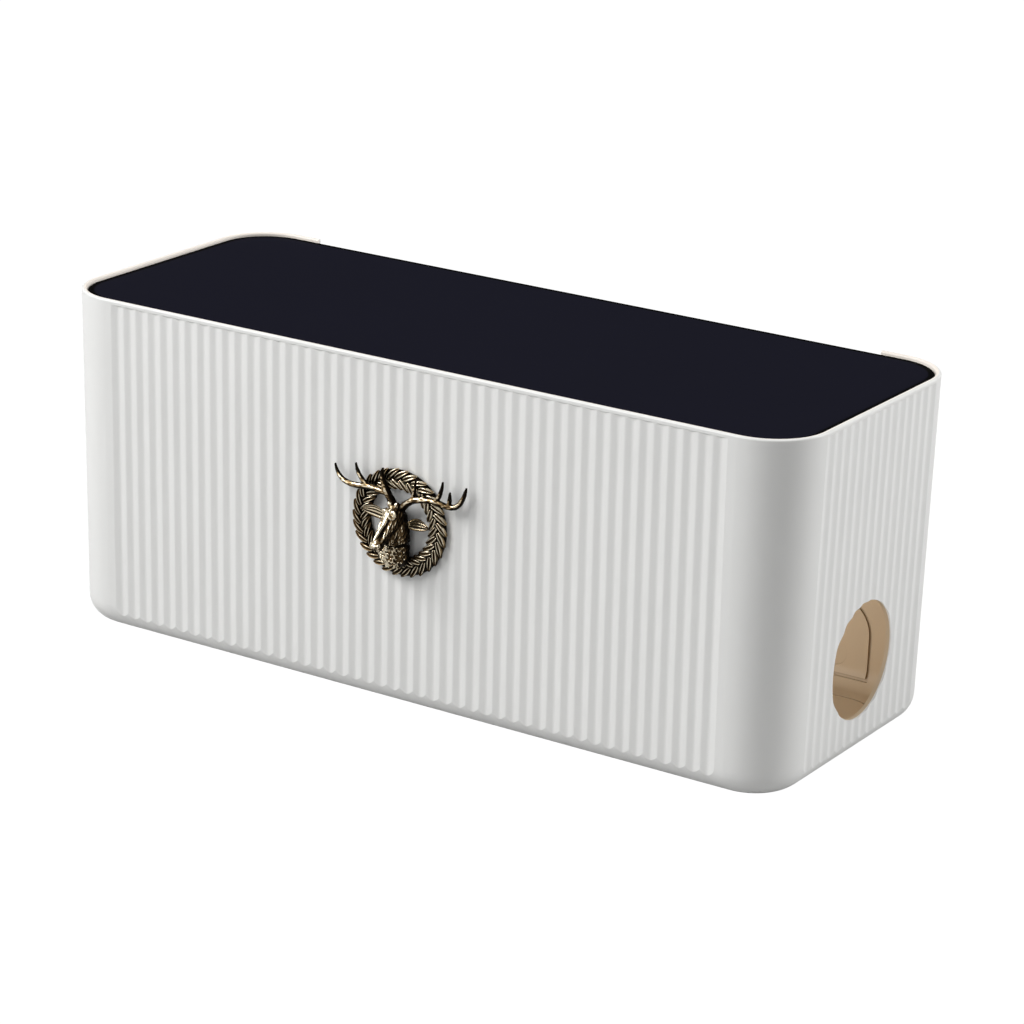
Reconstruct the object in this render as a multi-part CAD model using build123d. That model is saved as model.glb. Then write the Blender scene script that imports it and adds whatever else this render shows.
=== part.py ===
from build123d import *
import os
from math import cos, hypot, radians, sin, tan

# Cable management box, in millimetres. While it is being modelled, z = 0 is the underside of the
# tub, and x = y = 0 is the middle of its footprint. The last section moves everything so that the
# origin is on the desk, under the middle of the whole object.

# ---- Driving dimensions ----

# Tub
length = 325.0              # outside, at the rim
width = 127.0               # outside, at the rim
height = 135.2              # underside to rim
corner_radius = 23.0        # upright corners, at the rim
edge_radius = 10.0          # around the underside
draft = 0.88                # degrees that each wall leans outwards
wall = 2.4
floor_thickness = 2.4
rim_wall = 2.0              # around the lid
rim_round = 0.8             # both edges of the rim
rim_round_limit = 0.45      # of the rim's thickness, so that a flat stays between the two

# Flutes in the four walls
flute_pitch = 5.91
flute_depth = 0.63          # to the roots' corner, before it is rounded
flute_margin_long = 3.0     # plain wall between a corner's curve and the flutes, front and rear
flute_margin_end = -1.0     # the same on the ends, where the flutes reach the curve
flute_shift_end = 0.9       # of the ends' flutes, towards the rear
flute_top_margin = 1.6      # plain band below the rim, and below the rear notch
flute_end_slope = 45.0      # degrees, where a flute runs out at its top
flute_crest_drop = 0.08     # crests lie this far below the plain corners
flute_crest_radius = 2.8
flute_root_radius = 4.2

# Lid and the shelf it lies on
lid_thickness = 2.4
lid_recess = 1.2            # from the rim down to the lid's top
lid_gap = 0.4               # all round, to the rim
lid_edge_round = 0.4
shelf_width = 3.0
shelf_thickness = 2.0
shelf_slope = 45.0          # degrees, of the shelf's underside
rib_ring_inset = 8.0        # from the shelf's edge to the ring of ribs under the lid
rib_depth = 4.0
rib_thickness = 1.6
cross_rib_spacing = 58.0    # at most, between neighbouring cross ribs

# Openings
port_diameter = 45.0        # cable port in each end
port_height = 38.3          # its centre, above the underside
notch_corner = 33.0         # rim that is left at each end of the rear notch
notch_depth = 16.0
notch_radius = 6.0

# Knock-outs scored on the inner face of the rear wall
knockout_width = 31.0
knockout_foot = 5.0         # above the underside
knockout_straight = 17.5    # height of the sides below the arch
knockout_offset = 43.5      # centre line, from the tub's end
score_width = 1.2
score_depth = 0.8
thumb_dimple_diameter = 11.0
thumb_dimple_height = 9.0   # above the foot of the knock-out
thumb_dimple_depth = 0.6

# Line scored on the floor around the power strip's place
floor_line_inset = 17.5     # from the tub's outside at the rim
floor_line_radius = 10.0
floor_line_width = 1.0
floor_line_depth = 0.5

# Feet
foot_diameter = 14.0
foot_thickness = 2.0
foot_seat_depth = 1.0
foot_seat_clearance = 0.2   # radial
foot_edge_round = 0.4
foot_inset = 11.0           # from the end of the flat underside to the foot's centre

# Ornament: wreath
badge_height = 74.2         # centre, above the underside
wreath_outer_radius = 21.0
wreath_inner_radius = 13.0
wreath_edge_thickness = 1.4
wreath_crown = 1.3          # how far each row of leaves is crowned
peg_diameter = 3.0
peg_beyond_wall = 3.0
peg_clearance = 0.1         # radial
nut_diameter = 9.0
nut_thickness = 0.5

# Ornament: stag. Places are (across, up, out) from the wreath's centre.
stag_wall_gap = 0.4
poll_place = (0.0, 5.3, 1.5)
nose_place = (0.0, -5.6, 16.4)
mane_top = 2.0
mane_lap = 3.2              # how far down the wreath's band the mane comes
ear_base = (4.6, 1.7, 3.2)
ear_tip = (15.2, 4.8, 4.4)
ear_width = 4.6
ear_depth = 1.9
ear_fullness = ((0.0, 0.55), (0.3, 0.95), (0.6, 0.9), (0.85, 0.5), (1.0, 0.15))  # share of the way, of the width

# ---- Derived sizes ----

half_length = length / 2
half_width = width / 2
shelf_top = height - lid_recess - lid_thickness
shelf_underside = shelf_top - shelf_thickness
slope_start = shelf_underside - shelf_width / tan(radians(shelf_slope))
foot_proud = foot_thickness - foot_seat_depth
slack = 2.0                 # how far a cutting tool runs past what it cuts
tiny = 0.001


def lean(drop):
    """How far in a drafted wall is, this far below the rim."""
    return drop * tan(radians(draft))


def block(inset, bottom, top):
    """A rounded block with its walls at this inset from the tub's outside."""
    shrink = inset + lean(height - top)
    outline = RectangleRounded(length - 2 * shrink, width - 2 * shrink, corner_radius - shrink)
    upside_down = extrude(outline, amount=top - bottom, taper=draft)
    return Pos(0, 0, top) * Rot(180, 0, 0) * upside_down


def wall_face(half, above, inset=0.0):
    """A plane on the front wall at a height, facing out, with its y axis up the wall."""
    out = half - lean(height - above) - inset
    tilt = radians(draft)
    return Plane(origin=(0, -out, above), x_dir=(1, 0, 0), z_dir=(0, -cos(tilt), -sin(tilt)))


# ---- Tub ----

def flute_comb(half, across, margin, top):
    """The tool for the V flutes of a wall that is half away from the middle and this wide."""
    count = int((across - 2 * (corner_radius + margin)) // flute_pitch)
    start = -count * flute_pitch / 2
    outline = [(start, -slack), (start, 0)]
    for index in range(count):
        left = start + index * flute_pitch
        outline.append((left + flute_pitch / 2, flute_depth))
        if index < count - 1:
            outline.append((left + flute_pitch, flute_crest_drop))
    outline += [(-start, 0), (-start, -slack)]
    profile = make_face(Polyline(*outline, close=True))
    roots = profile.vertices().filter_by(lambda corner: corner.Y > (flute_depth + flute_crest_drop) / 2)
    profile = fillet(roots, flute_root_radius)
    crests = profile.vertices().filter_by(lambda corner: abs(corner.Y - flute_crest_drop) < tiny)
    profile = fillet(crests, flute_crest_radius)
    out = half - lean(height)
    tilt = radians(draft)
    up_the_wall = Plane(origin=(0, -out, 0), x_dir=(1, 0, 0), z_dir=(0, -sin(tilt), cos(tilt)))
    comb = extrude(up_the_wall * Pos(0, 0, -slack) * profile, amount=top + 2 * slack)
    above = Pos(0, 0, across / 2) * Box(across, across, across)
    end = Pos(0, lean(height - top) - half, top) * Rot(-flute_end_slope, 0, 0)
    return comb - end * above


def room(beyond=0.0):
    """The hollow below the shelf, or the same shape that much larger on every side."""
    hollow = block(wall - beyond, floor_thickness - beyond, slope_start)
    return fillet(hollow.faces().sort_by(Axis.Z)[0].edges(), edge_radius - wall + beyond)


def cavity():
    """Everything that is hollow inside the tub, from the floor to above the rim."""
    shrink = wall + lean(height - slope_start)
    under = RectangleRounded(length - 2 * shrink, width - 2 * shrink, corner_radius - shrink)
    funnel = extrude(Pos(0, 0, slope_start) * under, amount=shelf_underside - slope_start, taper=shelf_slope)
    throat = block(wall + shelf_width, shelf_underside, shelf_top)
    lid_seat = block(rim_wall, shelf_top, height + slack)
    return room() + funnel + throat + lid_seat


def rear_notch():
    """The tool for the long notch in the rear rim."""
    outline = RectangleRounded(length - 2 * notch_corner, 2 * notch_depth, notch_radius)
    inside = half_width - wall - shelf_width - slack
    looking_back = Plane(origin=(0, inside, height), x_dir=(-1, 0, 0), z_dir=(0, 1, 0))
    return looking_back * extrude(outline, amount=half_width - inside + slack)


def knockout_score(side):
    """The scored arch and its thumb dimple, on the inner face of the rear wall."""
    centre = side * (half_length - knockout_offset)
    arch_centre = knockout_foot + knockout_straight

    def arch(half_across):
        foot = knockout_foot + knockout_width / 2 - half_across
        sides = Pos(0, (foot + arch_centre) / 2) * Rectangle(2 * half_across, arch_centre - foot)
        return sides + Pos(0, arch_centre) * Circle(half_across)

    groove = arch(knockout_width / 2) - arch(knockout_width / 2 - score_width)
    dimple = Pos(0, knockout_foot + thumb_dimple_height) * Circle(thumb_dimple_diameter / 2)
    inner_face = wall_face(half_width, 0, wall)
    at_wall = Rot(0, 0, 180) * inner_face.location * Pos(-centre, 0, 0)
    score = at_wall * Pos(0, 0, -edge_radius) * extrude(groove, amount=edge_radius + wall)
    press = at_wall * Pos(0, 0, -slack) * extrude(dimple, amount=thumb_dimple_depth + slack)
    return (score & room(score_depth)) + press


def floor_line():
    """The scored outline on the floor, where the power strip lies."""
    across, along = length - 2 * floor_line_inset, width - 2 * floor_line_inset
    outer = RectangleRounded(across, along, floor_line_radius)
    inner = RectangleRounded(across - 2 * floor_line_width, along - 2 * floor_line_width, floor_line_radius - floor_line_width)
    return Pos(0, 0, floor_thickness - floor_line_depth) * extrude(outer - inner, amount=floor_line_depth + slack)


def foot_places():
    """Name and centre of each foot, on the flat underside."""
    x = half_length - lean(height) - edge_radius - foot_inset
    y = half_width - lean(height) - edge_radius - foot_inset
    return {
        "foot_front_left": (-x, -y),
        "foot_front_right": (x, -y),
        "foot_rear_left": (-x, y),
        "foot_rear_right": (x, y),
    }


def peg_places():
    """The wreath's two pegs, under the middle of its band."""
    reach = (wreath_outer_radius + wreath_inner_radius) / 2
    return [(-reach, 0), (reach, 0)]


def make_tub():
    shell = block(0, 0, height)
    shell = fillet(shell.faces().sort_by(Axis.Z)[0].edges(), edge_radius)
    edge_round = min(rim_round, rim_round_limit * rim_wall)
    shell = fillet(shell.faces().sort_by(Axis.Z)[-1].edges(), edge_round)
    shell -= cavity()
    shell = fillet(shell.faces().sort_by(Axis.Z)[-1].inner_wires()[0].edges(), edge_round)
    below_rim = height - flute_top_margin
    shell -= flute_comb(half_width, length, flute_margin_long, below_rim)
    shell -= Rot(0, 0, 180) * flute_comb(half_width, length, flute_margin_long, below_rim - notch_depth)
    for turn, shift in ((90, flute_shift_end), (270, -flute_shift_end)):
        shell -= Rot(0, 0, turn) * (Pos(shift, 0, 0) * flute_comb(half_length, width, flute_margin_end, below_rim))
    shell -= Pos(0, 0, port_height) * Rot(0, 90, 0) * Cylinder(port_diameter / 2, length + slack)
    shell -= rear_notch()
    for side in (-1, 1):
        shell -= knockout_score(side)
    shell -= floor_line()
    for x, y in foot_places().values():
        seat = Cylinder(foot_diameter / 2 + foot_seat_clearance, 2 * foot_seat_depth)
        shell -= Pos(x, y, 0) * seat
    on_front = wall_face(half_width, badge_height)
    for x, y in peg_places():
        shell -= on_front * (Pos(x, y) * Cylinder(peg_diameter / 2 + peg_clearance, 2 * (wall + slack)))
    return shell


# ---- Lid ----

def make_lid():
    plate = block(rim_wall + lid_gap, shelf_top, shelf_top + lid_thickness)
    plate = fillet(plate.faces().sort_by(Axis.Z)[-1].edges(), lid_edge_round)
    inset = wall + shelf_width + lean(height - shelf_top) + rib_ring_inset
    across = length - 2 * inset
    deep = width - 2 * inset
    radius = max(corner_radius - inset, 2 * rib_thickness)
    ring = RectangleRounded(across, deep, radius)
    ring -= RectangleRounded(across - 2 * rib_thickness, deep - 2 * rib_thickness, radius - rib_thickness)
    bays = int(across // cross_rib_spacing) + 1
    for index in range(1, bays):
        x = -across / 2 + index * across / bays
        ring += Pos(x, 0) * Rectangle(rib_thickness, deep - rib_thickness)
    ribs = extrude(Pos(0, 0, shelf_top - rib_depth) * ring, amount=rib_depth + lid_thickness / 2)
    return plate + ribs


# ---- Feet ----

def make_foot():
    foot = Cylinder(foot_diameter / 2, foot_thickness, align=(Align.CENTER, Align.CENTER, Align.MIN))
    foot = fillet(foot.faces().sort_by(Axis.Z)[0].edges(), foot_edge_round)
    return Pos(0, 0, -foot_proud) * foot


# ---- Ornament ----

def horn(rows):
    """A smooth tapering horn with round sections. Each row is a place and the radius there."""
    places = [Vector(*row[:3]) for row in rows]
    line = Spline(*places)
    sections = []
    last = len(rows) - 1
    for index, row in enumerate(rows):
        where = line.param_at_point(places[index]) if 0 < index < last else index / last
        sections.append(Plane(origin=line @ where, z_dir=line % where) * Circle(row[3]))
    return loft(sections)


def make_wreath():
    """The band, crowned once for each of its two rows of leaves, with the pegs behind it."""
    middle = (wreath_inner_radius + wreath_outer_radius) / 2
    row = (wreath_outer_radius - wreath_inner_radius) / 4
    top = wreath_edge_thickness
    crown = wreath_edge_thickness + wreath_crown
    edges = [
        Line((wreath_inner_radius, 0), (wreath_inner_radius, top)),
        ThreePointArc((wreath_inner_radius, top), (middle - row, crown), (middle, top)),
        ThreePointArc((middle, top), (middle + row, crown), (wreath_outer_radius, top)),
        Line((wreath_outer_radius, top), (wreath_outer_radius, 0)),
        Line((wreath_outer_radius, 0), (wreath_inner_radius, 0)),
    ]
    profile = Plane.XZ * make_face(edges)
    wreath = revolve(profile, Axis.Z, 360)
    peg_length = wall + peg_beyond_wall
    for x, y in peg_places():
        peg = Cylinder(peg_diameter / 2, peg_length, align=(Align.CENTER, Align.CENTER, Align.MAX))
        wreath += Pos(x, y) * peg
    return wreath


def make_push_nuts():
    inner_face = -wall * cos(radians(draft))
    nuts = Part()
    for x, y in peg_places():
        disc = Cylinder(nut_diameter / 2, nut_thickness, align=(Align.CENTER, Align.CENTER, Align.MAX))
        bore = Cylinder(peg_diameter / 2, 4 * nut_thickness)
        nuts += Pos(x, y, inner_face) * (disc - bore)
    return nuts


def make_stag_head():
    """Skull and muzzle, mane and ears, cut flat behind."""
    drop = poll_place[1] - nose_place[1]
    rise = nose_place[2] - poll_place[2]
    reach = hypot(drop, rise)
    along = Vector(0, -drop / reach, rise / reach)
    brow = Vector(0, rise / reach, drop / reach)
    # Share of the way to the nose, half width, depth above the axis, depth below it
    skull_sections = [
        (0.00, 3.8, 3.0, 4.5),
        (0.14, 5.2, 4.3, 6.2),
        (0.28, 5.8, 4.7, 6.4),
        (0.44, 5.1, 3.8, 5.4),
        (0.60, 3.8, 2.8, 4.1),
        (0.77, 3.0, 2.1, 3.2),
        (0.92, 2.7, 1.5, 2.6),
        (1.00, 1.6, 0.8, 1.5),
    ]
    slices = []
    for share, half_across, above, below in skull_sections:
        centre = Vector(*poll_place) + along * (share * reach) + brow * ((above - below) / 2)
        plane = Plane(origin=centre, x_dir=(1, 0, 0), z_dir=along)
        slices.append(plane * Ellipse(half_across, (above + below) / 2))
    head = loft(slices)
    # Share of the way down onto the wreath, half width, reach out of the wall
    mane_sections = [(0.0, 4.6, 6.0), (0.33, 6.0, 7.4), (0.6, 6.7, 7.6), (0.82, 5.8, 6.6), (1.0, 2.6, 4.8)]
    mane_foot = wreath_inner_radius + mane_lap
    slices = []
    for share, half_across, out in mane_sections:
        up = mane_top - share * (mane_top + mane_foot)
        plane = Plane(origin=(0, up, out / 2), x_dir=(1, 0, 0), z_dir=(0, -1, 0))
        slices.append(plane * Ellipse(half_across, out / 2))
    head += loft(slices)
    for side in (-1, 1):
        head += make_ear(side)
    size = 2 * wreath_outer_radius
    behind = Pos(0, 0, stag_wall_gap - size / 2) * Box(size, size, size)
    return head - behind


def make_ear(side):
    base = Vector(side * ear_base[0], ear_base[1], ear_base[2])
    tip = Vector(side * ear_tip[0], ear_tip[1], ear_tip[2])
    along = (tip - base).normalized()
    flat = Vector(0, 0, 1).cross(along)
    slices = []
    for share, fullness in ear_fullness:
        plane = Plane(origin=base + (tip - base) * share, x_dir=flat, z_dir=along)
        slices.append(plane * Ellipse(ear_width / 2 * fullness, ear_depth / 2 * fullness))
    return loft(slices)


# Each row of a horn is a place and the horn's radius there.
left_trunk = (
    (-0.5, 4.9, 2.4, 1.7), (-1.3, 7.4, 3.2, 1.6), (-2.1, 9.6, 3.8, 1.5), (-3.5, 11.8, 4.0, 1.45),
    (-4.9, 14.4, 3.9, 1.2), (-6.0, 17.1, 3.7, 1.0), (-6.5, 18.8, 3.5, 0.8), (-6.0, 20.8, 3.3, 0.45),
)
left_beam = (
    (-3.7, 11.9, 4.0, 1.1), (-6.5, 12.0, 4.0, 1.3), (-9.3, 12.4, 3.9, 1.3), (-12.4, 12.6, 3.9, 1.25),
    (-15.5, 12.0, 3.8, 1.2), (-18.7, 11.8, 3.6, 1.1), (-22.1, 11.9, 3.2, 1.05), (-25.1, 13.0, 2.8, 0.95),
    (-27.1, 14.8, 2.4, 0.75), (-28.6, 17.8, 2.1, 0.4),
)
left_tine = (
    (-11.3, 12.4, 3.9, 0.9), (-13.9, 13.8, 3.9, 0.95), (-15.9, 15.6, 3.7, 0.9), (-17.5, 17.6, 3.3, 0.75),
    (-18.7, 20.2, 2.8, 0.4),
)
right_beam = (
    (0.3, 4.9, 2.4, 1.6), (2.8, 7.2, 3.2, 1.5), (5.4, 9.5, 3.8, 1.35), (8.0, 11.1, 4.0, 1.3),
    (10.9, 11.9, 3.9, 1.2), (14.2, 12.4, 3.9, 1.15), (16.9, 12.5, 3.9, 1.1), (19.8, 12.2, 3.8, 1.1),
    (22.5, 11.6, 3.4, 1.1), (24.9, 11.7, 3.0, 1.1), (27.0, 12.9, 2.7, 1.05), (28.7, 15.6, 2.4, 0.9),
    (29.6, 18.2, 2.2, 0.7), (29.9, 19.9, 2.0, 0.4),
)
right_brow_tine = ((7.1, 10.9, 4.0, 0.8), (8.1, 13.5, 3.9, 0.75), (8.5, 16.3, 3.7, 0.6), (8.6, 19.3, 3.3, 0.35))
right_tall_tine = ((17.4, 12.5, 3.9, 0.9), (19.2, 14.8, 3.9, 0.9), (20.0, 17.3, 3.6, 0.75), (20.4, 20.7, 3.1, 0.4))
right_short_tine = ((23.3, 11.6, 3.2, 0.9), (23.3, 14.2, 3.0, 0.85), (23.2, 17.1, 2.6, 0.4))


def make_antler(*horns):
    """One antler from its main beam and its tines."""
    antler = horn(horns[0])
    for rows in horns[1:]:
        antler += horn(rows)
    return antler


# ---- Assembly ----

on_front = wall_face(half_width, badge_height)
parts = {
    "body_shell": make_tub(),
    "lid_panel": make_lid(),
    "badge_wreath": on_front * make_wreath(),
    "badge_stag_head": on_front * make_stag_head(),
    "badge_antler_left": on_front * make_antler(left_trunk, left_beam, left_tine),
    "badge_antler_right": on_front * make_antler(right_beam, right_brow_tine, right_tall_tine, right_short_tine),
    "badge_push_nuts": on_front * make_push_nuts(),
}
for name, (x, y) in foot_places().items():
    parts[name] = Pos(x, y, 0) * make_foot()

# The badge stands out of the front, so the middle of the whole object lies a little in front of
# the middle of the tub.
front = min(shape.bounding_box().min.Y for shape in parts.values())
rear = max(shape.bounding_box().max.Y for shape in parts.values())
to_origin = Pos(0, -(front + rear) / 2, foot_proud)
print("the origin is", round(-(front + rear) / 2, 3), "mm in front of the middle of the tub")

os.makedirs("parts", exist_ok=True)
for name, shape in parts.items():
    export_step(to_origin * shape, "parts/" + name + ".step")
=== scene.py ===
# %% [markdown]
# # A cable management box, dressed for its portrait
# The box is a long white moulding with upright flutes, a dark lid that lies inside the rim, and a cast
# ornament of a stag in a wreath. Its exact shapes come from CAD and are loaded as a fixed frame. Blender
# adds what CAD leaves plain: the leaves, the fur, the antlers, the finishes, the light and the camera.

# %% Load the fixed frame
import math
import random

import bpy
import numpy as np
from mathutils import Matrix, Vector, noise


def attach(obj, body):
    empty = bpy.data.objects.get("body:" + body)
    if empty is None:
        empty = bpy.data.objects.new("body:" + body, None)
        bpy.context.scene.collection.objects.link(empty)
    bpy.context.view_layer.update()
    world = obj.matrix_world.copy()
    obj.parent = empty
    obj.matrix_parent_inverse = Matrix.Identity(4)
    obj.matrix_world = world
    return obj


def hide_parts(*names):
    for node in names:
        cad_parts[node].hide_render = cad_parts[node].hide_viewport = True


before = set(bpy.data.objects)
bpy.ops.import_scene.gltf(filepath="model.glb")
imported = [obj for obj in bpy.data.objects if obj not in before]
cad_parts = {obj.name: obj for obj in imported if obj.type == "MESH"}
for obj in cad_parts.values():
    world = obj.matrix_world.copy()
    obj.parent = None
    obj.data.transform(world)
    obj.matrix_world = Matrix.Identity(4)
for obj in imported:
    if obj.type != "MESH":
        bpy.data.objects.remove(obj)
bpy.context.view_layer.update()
print("CAD nodes:", ", ".join(sorted(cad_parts)))

# %% [markdown]
# ## The tub's main sizes
# Finishes and ornament both need to know where the walls are. The tub's middle lies a little behind the
# origin, because the ornament stands out in front. The walls lean out as they rise, as the walls of
# every moulding do, so that it comes off its core. All lengths here are in metres.

# %% Sizes that the finishes and the ornament share
tub_length = 0.325
tub_width = 0.127
tub_height = 0.1352
tub_middle_y = 0.007935
tub_underside_z = 0.001
tub_corner_radius = 0.023
tub_edge_radius = 0.010
wall_lean = math.radians(0.88)
tub_middle = Vector((0, tub_middle_y, tub_underside_z + tub_height / 2))
print("tub middle:", tuple(round(value, 4) for value in tub_middle))

# %% [markdown]
# ## Camera
# A long lens from far off keeps the box's upright edges nearly parallel, as in a catalogue picture. The
# camera circles the tub's middle: azimuth 0 looks at the ornament straight on, and it has moved about a
# third of a quarter turn to the right. The slides move it right and down without turning it.

# %% Camera
view_azimuth = math.radians(32.659)
view_elevation = math.radians(18.756)
view_roll = math.radians(1.718)
view_distance = 1.3681
view_slide = (0.00670, -0.00598)
focal_length_in_pixels = 3574.94
picture_side_in_pixels = 1024
sensor_width = 36


def direction(azimuth, elevation):
    """The way from the tub's middle towards a place on the studio's dome."""
    flat = math.cos(elevation)
    return Vector((math.sin(azimuth) * flat, -math.cos(azimuth) * flat, math.sin(elevation)))


def turned_frame(place, back, roll=0.0):
    """A matrix for a camera or a light at place that looks along -back."""
    right = Vector((0, 0, 1)).cross(back).normalized()
    up = back.cross(right)
    rolled_right = math.cos(roll) * right + math.sin(roll) * up
    rolled_up = back.cross(rolled_right)
    turned = Matrix((rolled_right, rolled_up, back)).transposed().to_4x4()
    turned.translation = place
    return turned


camera_back = direction(view_azimuth, view_elevation)
camera_data = bpy.data.cameras.new("portrait_camera")
camera_data.sensor_width = sensor_width
camera_data.lens = focal_length_in_pixels * sensor_width / picture_side_in_pixels
camera_data.clip_start = 0.05
camera_data.clip_end = 30
camera = bpy.data.objects.new("portrait_camera", camera_data)
camera.matrix_world = turned_frame(tub_middle + camera_back * view_distance, camera_back, view_roll)
camera.matrix_world.translation += camera.matrix_world.to_3x3() @ Vector((*view_slide, 0))
bpy.context.scene.collection.objects.link(camera)
bpy.context.scene.camera = camera
bpy.context.scene.view_settings.view_transform = "Standard"
print("camera lens:", round(camera_data.lens, 2), "mm")

# %% [markdown]
# ## Floor and sky
# The box stands on a white sweep that reads as pure white, with no visible horizon. The trick is the
# Light Path node: the camera sees a glowing white, and every other ray sees a calmer grey. So the box
# isn't flooded with light from below, and its gloss has something darker to mirror. The floor lies a hair
# lower than the feet, so that the two never share a plane.

# %% Floor and sky
sky_strength = 0.262
floor_grey = 0.47
floor_roughness = 0.9
floor_half_side = 6.0
floor_drop = 0.0002
white_for_camera = 1.05
plain_white = (1.0, 1.0, 1.0, 1.0)


def new_material(name):
    """A new material and the Principled shader that comes in it."""
    made = bpy.data.materials.new(name)
    made.use_nodes = True
    return made, made.node_tree.nodes["Principled BSDF"]


def white_to_camera(tree, lighting, seen, surface):
    """Joins two shaders: the camera sees one of them, and every other ray meets the lighting."""
    path = tree.nodes.new("ShaderNodeLightPath")
    mix = tree.nodes.new("ShaderNodeMixShader")
    tree.links.new(path.outputs["Is Camera Ray"], mix.inputs["Fac"])
    tree.links.new(lighting, mix.inputs[1])
    tree.links.new(seen, mix.inputs[2])
    tree.links.new(mix.outputs["Shader"], surface)


sky = bpy.data.worlds.new("studio_sky")
sky.use_nodes = True
bpy.context.scene.world = sky
sky_nodes = sky.node_tree.nodes
sky_light = sky_nodes["Background"]
sky_light.inputs["Color"].default_value = plain_white
sky_light.inputs["Strength"].default_value = sky_strength
sky_seen = sky_nodes.new("ShaderNodeBackground")
sky_seen.inputs["Color"].default_value = plain_white
sky_seen.inputs["Strength"].default_value = white_for_camera
sky_surface = sky_nodes["World Output"].inputs["Surface"]
white_to_camera(sky.node_tree, sky_light.outputs["Background"], sky_seen.outputs["Background"], sky_surface)

floor_mesh = bpy.data.meshes.new("studio_floor")
corner_sides = ((-1, -1), (1, -1), (1, 1), (-1, 1))
floor_corners = [(x * floor_half_side, y * floor_half_side, -floor_drop) for x, y in corner_sides]
floor_mesh.from_pydata(floor_corners, [], [(0, 1, 2, 3)])
floor = bpy.data.objects.new("studio_floor", floor_mesh)
bpy.context.scene.collection.objects.link(floor)
white_paper, floor_shader = new_material("white_paper")
paper = white_paper.node_tree
floor_shader.inputs["Base Color"].default_value = (floor_grey, floor_grey, floor_grey, 1)
floor_shader.inputs["Roughness"].default_value = floor_roughness
floor_glow = paper.nodes.new("ShaderNodeEmission")
floor_glow.inputs["Strength"].default_value = white_for_camera
floor_surface = paper.nodes["Material Output"].inputs["Surface"]
white_to_camera(paper, floor_shader.outputs["BSDF"], floor_glow.outputs["Emission"], floor_surface)
floor_mesh.materials.append(white_paper)
print("floor:", 2 * floor_half_side, "m square")

# %% [markdown]
# ## Soft boxes
# Shallow flutes only show when light comes from the side, so soft light stands at the left front and at
# the right rear, each as a low and a high box that together are tall. Between the two the studio is dim:
# that is why the front corner of the box turns grey. One more box hangs behind and above. The card straight
# in front is seen by gloss only: the leaves on the right of the wreath mirror it. Each lamp is a row of a
# table, so it is easy to move and compare.

# %% Soft boxes
soft_box_distance = 2.8
# name, azimuth, elevation, width, height, watts, whether it also lights matt surfaces
soft_boxes = [
    ("left_high_box", -48, 40, 1.8, 1.4, 70.0, True),
    ("left_low_box", -52, 8, 1.8, 1.4, 6.0, True),
    ("right_high_box", 130, 40, 1.4, 1.4, 18.0, True),
    ("right_low_box", 130, 8, 1.4, 1.4, 40.0, True),
    ("rear_top_box", 180, 60, 1.4, 1.4, 6.5, True),
    ("front_card", 0, 28, 2.4, 1.4, 12.0, False),
]
for name, azimuth, elevation, across, high, watts, lights_matt in soft_boxes:
    lamp_data = bpy.data.lights.new(name, "AREA")
    lamp_data.shape = "RECTANGLE"
    lamp_data.size = across
    lamp_data.size_y = high
    lamp_data.energy = watts
    lamp = bpy.data.objects.new(name, lamp_data)
    back = direction(math.radians(azimuth), math.radians(elevation))
    lamp.matrix_world = turned_frame(tub_middle + back * soft_box_distance, back)
    lamp.visible_diffuse = lights_matt
    bpy.context.scene.collection.objects.link(lamp)
    print(name, "at", tuple(round(value, 2) for value in lamp.matrix_world.translation))

# %% [markdown]
# ## A lamp inside the box
# Real light bounces around inside the tub many times and also seeps through its thin walls, so the inside
# looks warm and soft through the cable port. A long soft lamp stands in for that. It hangs just behind the
# front wall, lights the rear wall and the floor, and is itself seen by no camera and no gloss. It is long,
# because a short one leaves a bright spot on the rear wall that shows when the lid is off.

# %% Inner lamp
inner_lamp_watts = 0.19
inner_lamp_length = 0.24
inner_lamp_height = 0.08
inner_lamp_behind_front = 0.009
inner_lamp_rise = 0.062

inner_data = bpy.data.lights.new("inner_lamp", "AREA")
inner_data.shape = "RECTANGLE"
inner_data.size = inner_lamp_length
inner_data.size_y = inner_lamp_height
inner_data.energy = inner_lamp_watts
inner_lamp = bpy.data.objects.new("inner_lamp", inner_data)
inner_lamp_y = tub_middle_y - tub_width / 2 + inner_lamp_behind_front
inner_place = Vector((0.0, inner_lamp_y, tub_underside_z + inner_lamp_rise))
inner_lamp.matrix_world = turned_frame(inner_place, Vector((0, -1, 0)))
inner_lamp.visible_camera = False
inner_lamp.visible_glossy = False
bpy.context.scene.collection.objects.link(inner_lamp)
print("inner lamp at", tuple(round(value, 3) for value in inner_place))

# %% [markdown]
# ## A node group for moulded surfaces
# Plastic and rubber take the skin of the steel mould they were made in. It is a fine even grain, and the
# gloss drifts a little where the melt flowed faster or slower. Several materials need this, so it is
# built once as a node group with named inputs, and each material sets its own values.

# %% Node group: mould_skin
def new_group(name, inputs, outputs):
    """A shader node group with float inputs (name, default) and float outputs."""
    made = bpy.data.node_groups.new(name, "ShaderNodeTree")
    for label, default in inputs:
        socket = made.interface.new_socket(label, in_out="INPUT", socket_type="NodeSocketFloat")
        socket.default_value = default
    for label in outputs:
        made.interface.new_socket(label, in_out="OUTPUT", socket_type="NodeSocketFloat")
    return made, made.nodes.new("NodeGroupInput"), made.nodes.new("NodeGroupOutput")


def calc(tree, operation, *values):
    """Adds one Math node and returns its output. A value is a number or another node's output."""
    made = tree.nodes.new("ShaderNodeMath")
    made.operation = operation
    for socket, value in zip(made.inputs, values):
        if isinstance(value, (int, float)):
            socket.default_value = value
        else:
            tree.links.new(value, socket)
    return made.outputs["Value"]


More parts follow.
